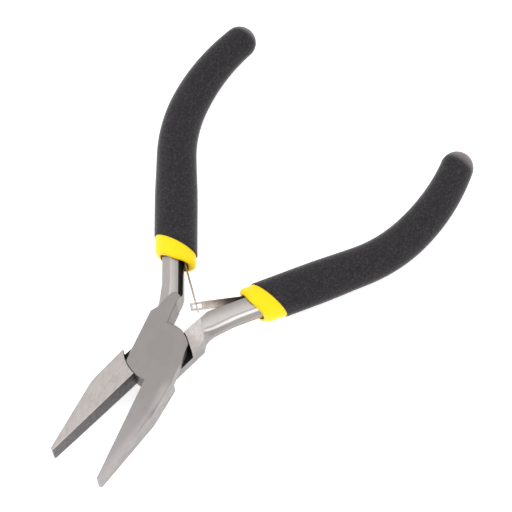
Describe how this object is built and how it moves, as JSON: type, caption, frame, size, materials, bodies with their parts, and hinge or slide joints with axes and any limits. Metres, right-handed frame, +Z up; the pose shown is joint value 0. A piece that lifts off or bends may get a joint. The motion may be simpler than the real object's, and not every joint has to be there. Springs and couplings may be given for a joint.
{
  "type": "flat nose pliers",
  "caption": "Small lap-joint flat nose pliers with tapered smooth jaws, interlocked return leaf springs and dipped two-layer grips.",
  "frame": {"origin": "where the pivot axis meets the lower flat face of the joint", "axes": "+X from the pivot between the handles, away from the jaws; +Y towards the handle of the upper half; +Z up along the pivot axis"},
  "size_m": [0.1203, 0.0774, 0.0096],
  "materials": {
    "forged_steel": "satin, fine ground lines, dark in the recesses",
    "pivot_steel": "ground flush with the joint",
    "collar_vinyl": "semi-gloss dipped vinyl",
    "grip_foam": "matte foamed vinyl with fine pits",
    "spring_steel": "bright rolled strip, slightly tempered",
    "rivet_steel": "plain steel"
  },
  "bodies": {
    "upper": {"upper_half": "forged_steel", "upper_sleeve": "collar_vinyl", "upper_grip": "grip_foam", "upper_spring_foot": "spring_steel", "upper_spring_rivet": "rivet_steel", "pivot_rivet": "pivot_steel"},
    "lower": {"lower_half": "forged_steel", "lower_sleeve": "collar_vinyl", "lower_grip": "grip_foam", "lower_spring_foot": "spring_steel", "lower_spring_rivet": "rivet_steel"},
    "upper_leaf": {"upper_spring_leaf": "spring_steel"},
    "lower_leaf": {"lower_spring_leaf": "spring_steel"}
  },
  "joints": [
    {"name": "pivot", "type": "hinge", "parent": "upper", "child": "lower", "pos_m": [0, 0, 0.0035], "axis": [0, 0, -1], "range_deg": [-20.7, 5], "stiffness_Nm_per_rad": 0.8},
    {"name": "upper_leaf_bend", "type": "hinge", "parent": "upper", "child": "upper_leaf", "pos_m": [0.02277, 0.00893, 0.0035], "axis": [0, 0, 1], "range_deg": [-14.63, 3.61]},
    {"name": "lower_leaf_bend", "type": "hinge", "parent": "lower", "child": "lower_leaf", "pos_m": [0.02277, -0.00893, 0.0035], "axis": [0, 0, -1], "range_deg": [-14.63, 3.61]}
  ],
  "couplings": [
    {"joint": "upper_leaf_bend", "follows": "pivot", "ratio": 0.7019},
    {"joint": "lower_leaf_bend", "follows": "pivot", "ratio": 0.7019}
  ]
}
